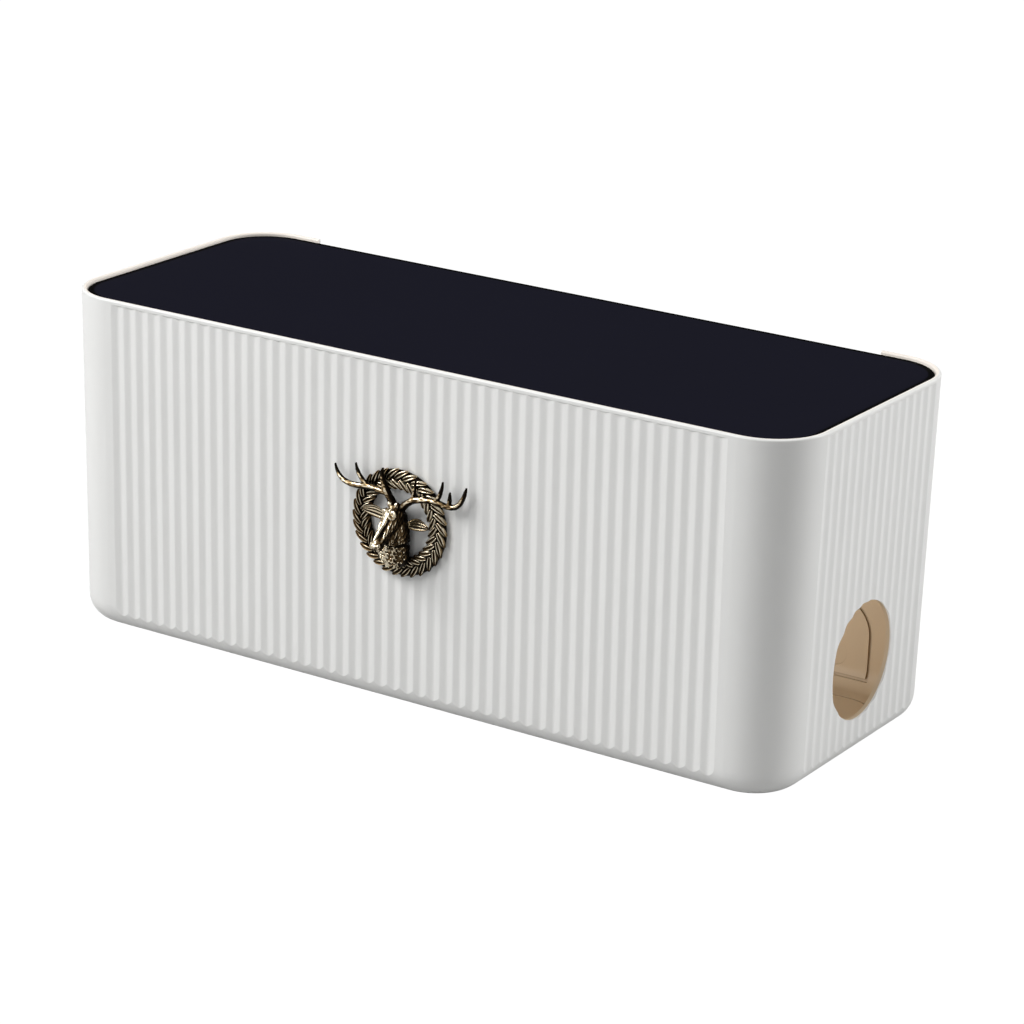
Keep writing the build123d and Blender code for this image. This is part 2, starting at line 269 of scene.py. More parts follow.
def noise_node(tree, coordinates, scale, detail=3.0):
    """A Noise Texture on the given coordinates. Its scale is a number or an output."""
    made = tree.nodes.new("ShaderNodeTexNoise")
    tree.links.new(coordinates, made.inputs["Vector"])
    made.inputs["Detail"].default_value = detail
    if isinstance(scale, (int, float)):
        made.inputs["Scale"].default_value = scale
    else:
        tree.links.new(scale, made.inputs["Scale"])
    return made.outputs["Fac"]


mould_skin, skin_in, skin_out = new_group(
    "mould_skin",
    [("Grain Size", 0.0004), ("Drift Size", 0.03), ("Roughness", 0.45), ("Roughness Drift", 0.08)],
    ["Height", "Roughness", "Drift"],
)
skin_place = mould_skin.nodes.new("ShaderNodeTexCoord").outputs["Object"]
grain_scale = calc(mould_skin, "DIVIDE", 1.0, skin_in.outputs["Grain Size"])
grain = noise_node(mould_skin, skin_place, grain_scale)
drift_scale = calc(mould_skin, "DIVIDE", 1.0, skin_in.outputs["Drift Size"])
drift = noise_node(mould_skin, skin_place, drift_scale)
drift_from_middle = calc(mould_skin, "SUBTRACT", drift, 0.5)
drift_share = calc(mould_skin, "MULTIPLY", drift_from_middle, skin_in.outputs["Roughness Drift"])
skin_roughness = calc(mould_skin, "ADD", skin_in.outputs["Roughness"], drift_share)
mould_skin.links.new(grain, skin_out.inputs["Height"])
mould_skin.links.new(skin_roughness, skin_out.inputs["Roughness"])
mould_skin.links.new(drift, skin_out.inputs["Drift"])


def add_group(tree, group, **values):
    """Puts a group into a material and sets its inputs, written as grain_size for Grain Size."""
    made = tree.nodes.new("ShaderNodeGroup")
    made.node_tree = group
    for name, value in values.items():
        made.inputs[name.replace("_", " ").title()].default_value = value
    return made


def add_bump(tree, height, shader, distance):
    """Feeds a height to the shader's normal, as a relief of the given depth in metres."""
    made = tree.nodes.new("ShaderNodeBump")
    made.inputs["Distance"].default_value = distance
    tree.links.new(height, made.inputs["Height"])
    tree.links.new(made.outputs["Normal"], shader.inputs["Normal"])


def blend_colours(tree, factor, first, second):
    """Mixes two colours by a factor output."""
    made = tree.nodes.new("ShaderNodeMix")
    made.data_type = "RGBA"
    tree.links.new(factor, made.inputs["Factor"])
    for socket, colour in ((made.inputs["A"], first), (made.inputs["B"], second)):
        if isinstance(colour, tuple):
            socket.default_value = (*colour, 1)
        else:
            tree.links.new(colour, socket)
    return made.outputs["Result"]


def ramp(tree, value, low, high):
    """0 below low, 1 above high, smooth between them. low may be above high to turn it round."""
    made = tree.nodes.new("ShaderNodeMapRange")
    made.interpolation_type = "SMOOTHSTEP"
    tree.links.new(value, made.inputs["Value"])
    made.inputs["From Min"].default_value = low
    made.inputs["From Max"].default_value = high
    return made.outputs["Result"]


print("mould_skin inputs:", [item.name for item in mould_skin.interface.items_tree if item.in_out == "INPUT"])

# %% [markdown]
# ## A node group that knows the tub
# Two finishes change with the distance from the tub's outer face: the tub is white outside and painted a
# warm tan shade inside, and the lid has a painted black shadow along its edge. This group works that
# distance out from the same rounded rectangle that the tub is drawn with, so it follows the corners and the
# lean of the walls.

# %% Node group: tub_distance
tub_distance, _, distance_out = new_group("tub_distance", [], ["Inset", "Rise"])
place = tub_distance.nodes.new("ShaderNodeSeparateXYZ")
tub_distance.links.new(tub_distance.nodes.new("ShaderNodeTexCoord").outputs["Object"], place.inputs["Vector"])
rise = calc(tub_distance, "SUBTRACT", place.outputs["Z"], tub_underside_z)
lean = calc(tub_distance, "MULTIPLY", calc(tub_distance, "SUBTRACT", tub_height, rise), math.tan(wall_lean))


def beyond_corner_centre(coordinate, half_size):
    """How far a point lies past the centre of the corner's arc, along one direction."""
    reach = calc(tub_distance, "SUBTRACT", half_size - tub_corner_radius, lean)
    return calc(tub_distance, "SUBTRACT", calc(tub_distance, "ABSOLUTE", coordinate), reach)


def length_of(tree, first, second):
    """The length of a flat vector whose negative parts count as none."""
    first = calc(tree, "MAXIMUM", first, 0.0)
    second = calc(tree, "MAXIMUM", second, 0.0)
    squares = calc(tree, "ADD", calc(tree, "MULTIPLY", first, first), calc(tree, "MULTIPLY", second, second))
    return calc(tree, "SQRT", squares)


past_x = beyond_corner_centre(place.outputs["X"], tub_length / 2)
past_y = beyond_corner_centre(calc(tub_distance, "SUBTRACT", place.outputs["Y"], tub_middle_y), tub_width / 2)
inner_part = calc(tub_distance, "MINIMUM", calc(tub_distance, "MAXIMUM", past_x, past_y), 0.0)
outline = calc(tub_distance, "ADD", length_of(tub_distance, past_x, past_y), inner_part)
inset = calc(tub_distance, "SUBTRACT", tub_corner_radius, outline)
tub_distance.links.new(inset, distance_out.inputs["Inset"])
tub_distance.links.new(rise, distance_out.inputs["Rise"])
print("tub_distance nodes:", len(tub_distance.nodes))

# %% [markdown]
# ## White plastic, painted warm shade inside
# The white goes about a millimetre into the wall, and deeper the wall is painted tan: painted warm shade
# that stands in for light bounced round inside the tub, so the cable ports show both. Behind the rim the tan
# is paler, a painted light. The Ambient Occlusion node paints shade on the scored lines of the knock-outs
# and the corner between wall and floor, where little light gets in. The rim is thin enough for light to
# seep through, so it is brighter than the wall: a faint painted glow of its own stands in for that.

# %% Material: shell_white
painted_tan_depth = 0.0009
painted_tan_blend = 0.0002
pale_band_bottom = 0.1302
pale_band_blend = 0.0006
rim_top_low = tub_height - 0.0008
rim_top_high = tub_height - 0.0002
painted_rim_glow = 0.08
corner_samples = 8
shell_corner_reach = 0.004
# Each pair of colours is blended by a mask
outside_whites = (0.80, 0.80, 0.785), (0.835, 0.835, 0.82)
# Painted shade: the tan inside stands in for light bounced round the tub, darker still in its corners
painted_corner_and_open_shade = (0.42, 0.32, 0.21), (0.60, 0.48, 0.335)
# Painted light on the inner face of the rim
painted_light_rim_tan = (0.93, 0.86, 0.78)
no_glow_and_painted_glow = (0.0, 0.0, 0.0), (1.0, 0.96, 0.90)


def corner_shade(tree, reach, low, high):
    """1 on open surfaces, down to 0 in corners that are narrower than the reach, in metres."""
    made = tree.nodes.new("ShaderNodeAmbientOcclusion")
    made.inputs["Distance"].default_value = reach
    made.samples = corner_samples
    return ramp(tree, made.outputs["AO"], low, high)


shell_white, shell_shader = new_material("shell_white")
shell = shell_white.node_tree
shell_place = add_group(shell, tub_distance)
short_of_edge = length_of(
    shell,
    calc(shell, "SUBTRACT", tub_edge_radius, shell_place.outputs["Inset"]),
    calc(shell, "SUBTRACT", tub_edge_radius, shell_place.outputs["Rise"]),
)
depth = calc(shell, "SUBTRACT", tub_edge_radius, short_of_edge)
# Deeper than the white, the wall takes the painted warm shade
inside = ramp(shell, depth, painted_tan_depth, painted_tan_depth + painted_tan_blend)
rim_band = ramp(shell, shell_place.outputs["Rise"], pale_band_bottom, pale_band_bottom + pale_band_blend)
# Painted shade inside the tub, darkest where the Ambient Occlusion node finds a corner
inner_painted_shade = blend_colours(shell, corner_shade(shell, shell_corner_reach, 0.25, 0.9), *painted_corner_and_open_shade)
inside_colour = blend_colours(shell, rim_band, inner_painted_shade, painted_light_rim_tan)
shell_skin = add_group(
    shell, mould_skin, grain_size=0.00035, drift_size=0.05, roughness=0.42, roughness_drift=0.10
)
outside_colour = blend_colours(shell, shell_skin.outputs["Drift"], *outside_whites)
shell_colour = blend_colours(shell, inside, outside_colour, inside_colour)
shell.links.new(shell_colour, shell_shader.inputs["Base Color"])
shell.links.new(shell_skin.outputs["Roughness"], shell_shader.inputs["Roughness"])
# A painted glow on the rim's top and its inner band, for light seeping through the thin rim
rim_top = ramp(shell, shell_place.outputs["Rise"], rim_top_low, rim_top_high)
painted_glow_rim = calc(shell, "MAXIMUM", rim_top, calc(shell, "MULTIPLY", rim_band, inside))
glow_colour = blend_colours(shell, painted_glow_rim, *no_glow_and_painted_glow)
shell.links.new(glow_colour, shell_shader.inputs["Emission Color"])
shell_shader.inputs["Emission Strength"].default_value = painted_rim_glow
add_bump(shell, shell_skin.outputs["Height"], shell_shader, 0.00001)
print("shell_white nodes:", len(shell.nodes))

# %% [markdown]
# ## Lid plastic
# The lid is dark navy and so matt that it shows no reflection at all, even seen at a low angle. A low
# specular level does that. The grain is coarser than on the tub, as on a spark-eroded mould. Along the
# edge a black band is painted as the shadow in the gap round the plate.

# %% Material: lid_navy
lid_edge_inset = 0.0045
lid_edge_blend = 0.0006
lid_specular = 0.02
lid_navies = (0.0071, 0.0071, 0.0135), (0.0083, 0.0083, 0.0155)
# Painted shadow along the lid's edge
lid_edge_painted_shadow = (0.0008, 0.0008, 0.0008)

lid_navy, lid_shader = new_material("lid_navy")
lid = lid_navy.node_tree
lid_skin = add_group(
    lid, mould_skin, grain_size=0.0005, drift_size=0.04, roughness=0.75, roughness_drift=0.08
)
lid_face = blend_colours(lid, lid_skin.outputs["Drift"], *lid_navies)
lid_inset = add_group(lid, tub_distance).outputs["Inset"]
# Painted shadow: the lid turns black within about four and a half millimetres of its edge
away_from_edge = ramp(lid, lid_inset, lid_edge_inset, lid_edge_inset + lid_edge_blend)
lid.links.new(blend_colours(lid, away_from_edge, lid_edge_painted_shadow, lid_face), lid_shader.inputs["Base Color"])
lid.links.new(lid_skin.outputs["Roughness"], lid_shader.inputs["Roughness"])
lid_shader.inputs["Specular IOR Level"].default_value = lid_specular
add_bump(lid, lid_skin.outputs["Height"], lid_shader, 0.00002)
print("lid_navy nodes:", len(lid.nodes))

# %% [markdown]
# ## Rubber feet
# The feet are dark moulded rubber. They are hardly seen, but when the box is turned over they should not
# look like bare CAD.

# %% Material: foot_rubber
rubber_blacks = (0.018, 0.018, 0.019), (0.035, 0.035, 0.036)

foot_rubber, foot_shader = new_material("foot_rubber")
foot = foot_rubber.node_tree
foot_skin = add_group(
    foot, mould_skin, grain_size=0.0006, drift_size=0.006, roughness=0.7, roughness_drift=0.2
)
foot_colour = blend_colours(foot, foot_skin.outputs["Drift"], *rubber_blacks)
foot.links.new(foot_colour, foot_shader.inputs["Base Color"])
foot.links.new(foot_skin.outputs["Roughness"], foot_shader.inputs["Roughness"])
add_bump(foot, foot_skin.outputs["Height"], foot_shader, 0.00005)
print("foot_rubber nodes:", len(foot.nodes))

# %% [markdown]
# ## Spring steel
# The push nuts are stamped from bright rolled strip. Rolling leaves long fine lines, which a noise
# stretched along one direction gives.

# %% Material: spring_steel
steel_line_scale = 700.0
steel_line_stretch = (1.0, 1.0, 14.0)
steel_greys = (0.42, 0.42, 0.43), (0.66, 0.66, 0.67)

spring_steel, steel_shader = new_material("spring_steel")
steel = spring_steel.node_tree
steel_stretch = steel.nodes.new("ShaderNodeMapping")
steel_stretch.inputs["Scale"].default_value = steel_line_stretch
steel.links.new(steel.nodes.new("ShaderNodeTexCoord").outputs["Object"], steel_stretch.inputs["Vector"])
steel_lines = noise_node(steel, steel_stretch.outputs["Vector"], steel_line_scale)
steel.links.new(blend_colours(steel, steel_lines, *steel_greys), steel_shader.inputs["Base Color"])
steel.links.new(ramp(steel, steel_lines, -0.6, 1.8), steel_shader.inputs["Roughness"])
steel_shader.inputs["Metallic"].default_value = 1.0
add_bump(steel, steel_lines, steel_shader, 0.00002)
print("spring_steel nodes:", len(steel.nodes))

# %% [markdown]
# ## Dress the CAD nodes
# The tub, lid, feet and push nuts keep their CAD meshes. Only what fills their material slots changes.

# %% Finishes of the CAD nodes
finishes = {
    "body_shell": shell_white,
    "lid_panel": lid_navy,
    "badge_push_nuts": spring_steel,
    "foot_front_left": foot_rubber,
    "foot_front_right": foot_rubber,
    "foot_rear_left": foot_rubber,
    "foot_rear_right": foot_rubber,
}
for node, finish in finishes.items():
    node_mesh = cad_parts[node].data
    node_mesh.materials.clear()
    node_mesh.materials.append(finish)
    print(node, "wears", finish.name, "on", len(node_mesh.polygons), "faces")

# %% [markdown]
# ## Antique brass
# The ornament is cast brass that was blackened and then rubbed from the front, so the hollows stay nearly
# black and the ridges shine pale gold. The sides are darkened too, partly as painted shade. Each mesh carries
# three values for that, worked out below. Relief says how far a point stands out of its surroundings. Facing
# says how full on it meets the polishing cloth; the cloth comes from the main light's side, so facing also
# paints light on faces turned to that lamp and shade on those turned away. Polish is given piece by piece
# where the caster rubbed more or less, and it also carries painted highlights and painted shade. The
# Ambient Occlusion node adds the deep corners between pieces. Rubbed metal is smoother than the black, so
# the same mask drives the gloss.

# %% Material: antique_brass
brass_corner_reach = 0.0016
blotch_scale = 900.0
blotch_detail = 4.0
blotch_strength = 0.14
pit_scale = 5200.0
hollow_black = (0.010, 0.007, 0.0045)
worn_dark_brown = (0.15, 0.095, 0.045)
half_gold = (0.42, 0.29, 0.14)
pale_gold = (0.92, 0.82, 0.62)
black_roughness = 0.5
gold_roughness = 0.2

antique_brass, brass_shader = new_material("antique_brass")
brass = antique_brass.node_tree
brass_place = brass.nodes.new("ShaderNodeTexCoord").outputs["Object"]


def stored_value(tree, name):
    """Reads a number that each point of the mesh carries."""
    made = tree.nodes.new("ShaderNodeAttribute")
    made.attribute_name = name
    return made.outputs["Fac"]


blotches = noise_node(brass, brass_place, blotch_scale, blotch_detail)
pits = noise_node(brass, brass_place, pit_scale)
raised = ramp(brass, stored_value(brass, "relief"), -0.3, 0.7)
# Facing the cloth is also facing the main light: painted light there, painted shade on faces turned away
met_by_cloth_and_light = ramp(brass, stored_value(brass, "facing"), 0.1, 0.8)
open_corner = corner_shade(brass, brass_corner_reach, 0.2, 0.8)
blotch_share = calc(brass, "MULTIPLY", calc(brass, "SUBTRACT", blotches, 0.5), blotch_strength)
# Rubbed bright, plus the painted light and shade that facing and polish carry
rubbed_and_painted_light = calc(brass, "MULTIPLY", calc(brass, "MULTIPLY", raised, met_by_cloth_and_light), open_corner)
rubbed_and_painted_light = calc(brass, "ADD", rubbed_and_painted_light, stored_value(brass, "polish_and_painted_light"))
rubbed_and_painted_light = ramp(brass, calc(brass, "ADD", rubbed_and_painted_light, blotch_share), 0.10, 0.60)
hardly_blackened = ramp(brass, stored_value(brass, "polish_and_painted_light"), -0.8, -0.2)
worn_and_painted_light_brown = calc(brass, "MULTIPLY", calc(brass, "MULTIPLY", open_corner, met_by_cloth_and_light), hardly_blackened)
brown_or_black = blend_colours(brass, worn_and_painted_light_brown, hollow_black, worn_dark_brown)
half_rubbed = blend_colours(brass, ramp(brass, rubbed_and_painted_light, 0.0, 0.55), brown_or_black, half_gold)
brass_colour = blend_colours(brass, ramp(brass, rubbed_and_painted_light, 0.4, 1.0), half_rubbed, pale_gold)
brass.links.new(brass_colour, brass_shader.inputs["Base Color"])
brass_shader.inputs["Metallic"].default_value = 1.0
brass_gloss = brass.nodes.new("ShaderNodeMapRange")
brass.links.new(rubbed_and_painted_light, brass_gloss.inputs["Value"])
brass_gloss.inputs["To Min"].default_value = black_roughness
brass_gloss.inputs["To Max"].default_value = gold_roughness
brass.links.new(brass_gloss.outputs["Result"], brass_shader.inputs["Roughness"])
add_bump(brass, pits, brass_shader, 0.00001)
print("antique_brass nodes:", len(brass.nodes))

# %% [markdown]
# ## Clay in millimetres
# The ornament is small and stands on a leaning wall, so it is modelled lying flat, in millimetres, with
# the wreath's middle at zero: across, up, and out of the wall. It is put on the wall when it is done.
# The helpers here work like clay. Simple closed forms are overlapped, a voxel remesh melts them into one
# skin, and then small pushes on the points carve the detail.

# %% Helpers: forms
millimetre = 0.001
badge_middle = Vector((0, -0.054628, 0.0752))
badge_across = Vector((1, 0, 0))
badge_up = Vector((0, -math.sin(wall_lean), math.cos(wall_lean)))
badge_out = Vector((0, -math.cos(wall_lean), -math.sin(wall_lean)))


def ring(centre, first, second, count):
    """Points round a centre. first and second are its two half axes."""
    turn = np.linspace(0, 2 * math.pi, count, endpoint=False)
    return np.array(centre) + np.outer(np.cos(turn), first) + np.outer(np.sin(turn), second)


def loft(rings):
    """A closed skin through rings with the same number of points."""
    count = len(rings[0])
    faces = [tuple(reversed(range(count))), tuple(range((len(rings) - 1) * count, len(rings) * count))]
    for level in range(len(rings) - 1):
        for index in range(count):
            here = level * count + index
            beside = level * count + (index + 1) % count
            faces.append((here, beside, beside + count, here + count))
    return np.concatenate(rings), faces


def ball(centre, radii, axes=np.eye(3), levels=9, count=16):
    """An egg shape: three radii along three axes, which are rows."""
    first, second, third = (np.array(axis) * radius for axis, radius in zip(axes, radii))
    rings = []
    for angle in np.linspace(-1.45, 1.45, levels):
        middle = np.array(centre) + third * math.sin(angle)
        rings.append(ring(middle, first * math.cos(angle), second * math.cos(angle), count))
    return loft(rings)


def tube(path, radii, count):
    """A round bar along a path of points, with a radius at each."""
    path = np.array(path, float)
    rings = []
    for index, (point, radius) in enumerate(zip(path, radii)):
        along = path[min(index + 1, len(path) - 1)] - path[max(index - 1, 0)]
        along = Vector(along).normalized()
        side = along.orthogonal().normalized() if not rings else (side - along * side.dot(along)).normalized()
        rings.append(ring(point, np.array(side) * radius, np.array(along.cross(side)) * radius, count))
    return loft(rings)


def mesh_piece(name, shapes):
    """One object from several closed forms."""
    points, faces, count = [], [], 0
    for shape_points, shape_faces in shapes:
        points.append(shape_points)
        faces += [tuple(index + count for index in face) for face in shape_faces]
        count += len(shape_points)
    mesh = bpy.data.meshes.new(name)
    mesh.from_pydata(np.concatenate(points).tolist(), [], faces)
    piece = bpy.data.objects.new(name, mesh)
    bpy.context.scene.collection.objects.link(piece)
    return piece


def settle(piece):
    """Applies the modifiers, so that the mesh itself has the shape."""
    whole = bpy.context.evaluated_depsgraph_get()
    done = bpy.data.meshes.new_from_object(piece.evaluated_get(whole))
    piece.modifiers.clear()
    piece.data = done
    done.name = piece.name


def melt(piece, voxel=0.2, smoothing=4):
    """Overlapping forms become one even skin, as when clay is worked together."""
    remesh = piece.modifiers.new("melt", "REMESH")
    remesh.mode = "VOXEL"
    remesh.voxel_size = voxel
    soften = piece.modifiers.new("soften", "SMOOTH")
    soften.factor = 0.5
    soften.iterations = smoothing
    settle(piece)
    print(piece.name, "melted into", len(piece.data.polygons), "faces")


# %% Helpers: sculpting
def read_points(mesh, what="co"):
    """The mesh's points, or its normals with what="normal", as rows."""
    flat = np.empty(len(mesh.vertices) * 3, np.float32)
    mesh.vertices.foreach_get(what, flat)
    return flat.reshape(-1, 3).astype(float)


def write_points(mesh, points):
    mesh.vertices.foreach_set("co", points.astype(np.float32).ravel())
    mesh.update()


def fade(distance, radius):
    """A brush: 1 at its middle, 0 at its edge, smooth at both."""
    share = np.clip(1 - distance / radius, 0, 1)
    return share * share * (3 - 2 * share)


def distance_to_path(points, path):
    """The shortest way from each point to a bent line."""
    path = np.array(path, float)
    nearest = np.full(len(points), np.inf)
    for start, end in zip(path, path[1:]):
        along = end - start
        share = np.clip((points - start) @ along / (along @ along), 0, 1)
        nearest = np.minimum(nearest, np.linalg.norm(points - start - share[:, None] * along, axis=1))
    return nearest


def noise_at(points):
    """Blender's own noise, -1 to 1, one value a point. It is the same on every run."""
    return np.array([noise.noise(Vector(point)) for point in points])


def store(piece, name, values):
    """Keeps one number a point on the mesh, for its material to read."""
    kept = piece.data.attributes.new(name, "FLOAT", "POINT")
    kept.data.foreach_set("value", values.astype(np.float32))


def relief_of(piece, rounds=10):
    """How far each point stands out of its smoothed surroundings. About 1 on a ridge, -1 in a groove."""
    mesh = piece.data
    points = read_points(mesh)
    edges = np.empty(len(mesh.edges) * 2, np.int32)
    mesh.edges.foreach_get("vertices", edges)
    start, end = edges.reshape(-1, 2).T
    neighbours = np.maximum(np.bincount(edges, minlength=len(points)), 1)
    smooth = points.copy()
    for _ in range(rounds):
        total = np.empty_like(smooth)
        for axis in range(3):
            total[:, axis] = np.bincount(start, smooth[end, axis], len(points))
            total[:, axis] += np.bincount(end, smooth[start, axis], len(points))
        smooth = (smooth + total / neighbours[:, None]) / 2
    stand = ((points - smooth) * read_points(mesh, "normal")).sum(1)
    return (stand - np.median(stand)) / (2 * stand.std())


# The cloth comes from the upper left front, where the main light is, so facing it also paints light and
# facing away paints shade
cloth_and_key_light_from = np.array((-0.2, 0.34, 0.92))


def put_on_wall(piece, polish_and_painted_light, replaced=(), relief=None):
    """Finishes the piece in brass and moves it from its flat millimetres onto the wall."""
    mesh = piece.data
    normals = read_points(mesh, "normal")
    store(piece, "relief", relief_of(piece) if relief is None else relief)
    store(piece, "facing", normals @ cloth_and_key_light_from)
    store(piece, "polish_and_painted_light", polish_and_painted_light)
    mesh.materials.clear()
    mesh.materials.append(antique_brass)
    mesh.polygons.foreach_set("use_smooth", [True] * len(mesh.polygons))
    turned = Matrix((badge_across, badge_up, badge_out)).transposed().to_4x4()
    turned.translation = badge_middle
    mesh.transform(turned @ Matrix.Scale(millimetre, 4))
    mesh.update()
    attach(piece, "tub")
    if replaced:
        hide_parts(*replaced)


# %% [markdown]
# ## The wreath
# Laurel leaves lie in two rows on a flat band and grow clockwise all the way round. The rows are
# highest near the stem and fall towards their tips, so the wreath is round like a rope. One
# leaf function makes them all, with a little seeded variety, because cast leaves are never quite alike.

# %% Wreath
wreath_stem_radius = 17.0
leaves_in_row = 30
leaf_reach = 3.8
leaf_half_width = 1.08
leaf_height = 1.75
leaf_swell = 0.25
leaf_fall = 0.75
leaf_underside = 0.4
leaf_root_gap = 0.2
outer_sweep = 0.27
inner_sweep = 0.31
# Places along a leaf, as shares of its length
leaf_stations = (0.0, 0.10, 0.24, 0.40, 0.56, 0.72, 0.86, 0.95, 1.0)
# Across a leaf from edge to edge: place and height, both as shares of its half width. The midrib is a groove.
leaf_section = [
    (-1, -0.3), (-0.93, 0.3), (-0.72, 0.62), (-0.42, 0.55), (-0.2, -0.25),
    (0.2, -0.25), (0.42, 0.55), (0.72, 0.62), (0.93, 0.3), (1, -0.3),
]
leaf_underside_places = (0.8, 0, -0.8)
chance = random.Random(11)


def leaf(root_angle, side):
    """One leaf of the outer row (side 1) or the inner row (side -1), from stem to tip."""
    sweep = (outer_sweep if side > 0 else inner_sweep) * chance.uniform(0.94, 1.06)
    reach = leaf_reach * chance.uniform(0.95, 1.0)
    lift = chance.uniform(-0.08, 0.08)
    rings = []
    for share in leaf_stations:
        radius = wreath_stem_radius + side * (leaf_root_gap + reach * share ** 0.92)
        angle = root_angle - sweep * share
        growth = Vector((
            side * reach * math.cos(angle) + sweep * radius * math.sin(angle),
            side * reach * math.sin(angle) - sweep * radius * math.cos(angle),
            0,
        )).normalized()
        sideways = growth.cross(Vector((0, 0, 1)))
        middle = Vector((radius * math.cos(angle), radius * math.sin(angle), 0))
        width = leaf_half_width * math.sin(math.pi * (0.1 + 0.85 * share) ** 0.85) ** 0.7
        height = leaf_height + lift + leaf_swell * share - leaf_fall * share ** 3
        profile = []
        for place, crown in leaf_section:
            profile.append(middle + sideways * (width * place) + Vector((0, 0, height + crown * width)))
        for place in leaf_underside_places:
            profile.append(middle + sideways * (width * place) + Vector((0, 0, leaf_underside)))
        rings.append(np.array([tuple(point) for point in profile]))
    return loft(rings)


leaves = []
for index in range(leaves_in_row):
    turn = 2 * math.pi * index / leaves_in_row
    leaves.append(leaf(turn, 1))
    leaves.append(leaf(turn + math.pi / leaves_in_row, -1))
wreath_leaves = mesh_piece("wreath_leaves", leaves)
rounding = wreath_leaves.modifiers.new("rounding", "SUBSURF")
rounding.levels = rounding.render_levels = 1
settle(wreath_leaves)
leaf_relief = relief_of(wreath_leaves)
# Polish on the raised leaves, plus a painted light that grows towards the top right of the wreath
painted_light_top_right = read_points(wreath_leaves.data) @ np.array((0.7, 0.7, 0)) / wreath_stem_radius
leaf_polish_and_painted_light = 0.1 + 0.4 * np.clip(leaf_relief, -1, 1) + 0.3 * np.clip(painted_light_top_right, -0.8, 1)
put_on_wall(wreath_leaves, polish_and_painted_light=leaf_polish_and_painted_light, relief=leaf_relief)
print("leaves:", len(leaves), "with", len(wreath_leaves.data.polygons), "faces")

# %% [markdown]
# Under the leaves lies the band that holds them together, with a twisted stem along its middle. The two
# pegs behind it go through the wall, and the push nuts inside grip them.

# %% Wreath band, stem and pegs
band_steps = 160
twist_turns = 44
stem_height = 1.35
stem_half_axes = (0.62, 0.42)
band_polish = -0.9
peg_radius = 1.5
peg_length = 5.4
peg_root_height = 0.9
peg_nose_length = 0.4
peg_nose_taper = 0.3
# Distance from the middle and height above the wall, once round the band's section
band_section = [(13.5, 0.05), (13.4, 0.6), (14.2, 0.9), (17.0, 1.0), (19.7, 0.9), (20.5, 0.6), (20.4, 0.05)]
band_rings = []
stem_rings = []
upward = np.array((0, 0, 1))
for step in range(band_steps):
    angle = 2 * math.pi * step / band_steps
    outward = np.array((math.cos(angle), math.sin(angle), 0))
    band_rings.append(np.array([outward * reach + upward * height for reach, height in band_section]))
    turn = angle * twist_turns
    long_axis = (outward * math.cos(turn) + upward * math.sin(turn)) * stem_half_axes[0]
    short_axis = (upward * math.cos(turn) - outward * math.sin(turn)) * stem_half_axes[1]
    stem_rings.append(ring(outward * wreath_stem_radius + upward * stem_height, long_axis, short_axis, 10))


def closed_loop(rings):
    """A skin through rings that ends where it began."""
    points, faces = loft(rings)
    faces = faces[2:]
    count = len(rings[0])
    last = (len(rings) - 1) * count
    for index in range(count):
        after = (index + 1) % count
        faces.append((last + index, last + after, after, index))
    return points, faces


pegs = []
for side in (-1, 1):
    peg_heights = (peg_root_height, 0.0, -peg_length + peg_nose_length, -peg_length)
    peg_path = [(side * wreath_stem_radius, 0, out) for out in peg_heights]
    pegs.append(tube(peg_path, (peg_radius, peg_radius, peg_radius, peg_radius - peg_nose_taper), 24))
wreath_band = mesh_piece("wreath_band", [closed_loop(band_rings), closed_loop(stem_rings)] + pegs)
put_on_wall(wreath_band, np.full(len(wreath_band.data.vertices), band_polish), ["badge_wreath"])
print("band faces:", len(wreath_band.data.polygons))

# %% [markdown]
# ## The stag's head
# The head hangs out of the wreath and looks down to the front. Its own two directions are along, from
# the crown of the skull to the nose, and brow, which points out of the forehead. The skull is a row of
# rings, widest at the eyes and narrow at the muzzle. Cheeks, brow ridges, jaw and nose are separate eggs
# pressed into it. The mane below is one more row of rings.

# %% Stag's head: rough forms
poll = np.array((0.0, 5.3, 1.5))
nose = np.array((-1.4, -5.6, 14.7))
head_length = np.linalg.norm(nose - poll)
along_head = (nose - poll) / head_length
across_head = np.array((along_head[2], 0.0, -along_head[0])) / math.hypot(along_head[0], along_head[2])
out_of_brow = np.cross(along_head, across_head)
head_axes = np.array((across_head, out_of_brow, along_head))


def on_head(across, along, brow):
    """A place on the head in its own directions, in millimetres."""
    return poll + across_head * across + along_head * along + out_of_brow * brow


def head_ball(across, along, brow, radii):
    """An egg on the head: half width, half height, half length."""
    return ball(on_head(across, along, brow), radii, head_axes)


# Distance from the crown, half width, height above the axis, depth below it
skull_sections = [
    (0.0, 3.1, 2.8, 4.4), (1.2, 3.9, 3.9, 5.6), (3.0, 4.2, 4.4, 6.4), (5.2, 4.2, 4.2, 6.6),
    (7.2, 3.9, 3.8, 6.3), (9.2, 3.4, 3.2, 5.7), (11.5, 2.9, 2.6, 4.9), (14.0, 2.4, 1.9, 3.9),
    (16.4, 2.2, 1.3, 2.9), (17.9, 1.7, 0.7, 1.5),
]
top_narrowness = 1.7
underside_fullness = 0.85
# Eggs on both sides of the head: place across, along and out of the brow, then the three half sizes
paired_eggs = [
    (1.9, 4.0, 3.3, (1.2, 1.1, 1.6)),     # brow
    (2.6, 7.2, -0.2, (1.0, 1.3, 2.6)),    # cheekbone
    (2.6, 8.6, -3.4, (1.7, 2.5, 4.2)),    # jaw
    (1.5, 16.3, -0.9, (1.25, 1.3, 1.8)),  # lip
    (1.6, 16.9, 0.3, (1.0, 0.8, 1.2)),    # wing of the nostril
    (1.5, 0.6, 3.6, (1.3, 1.6, 1.3)),     # root of the antler
]
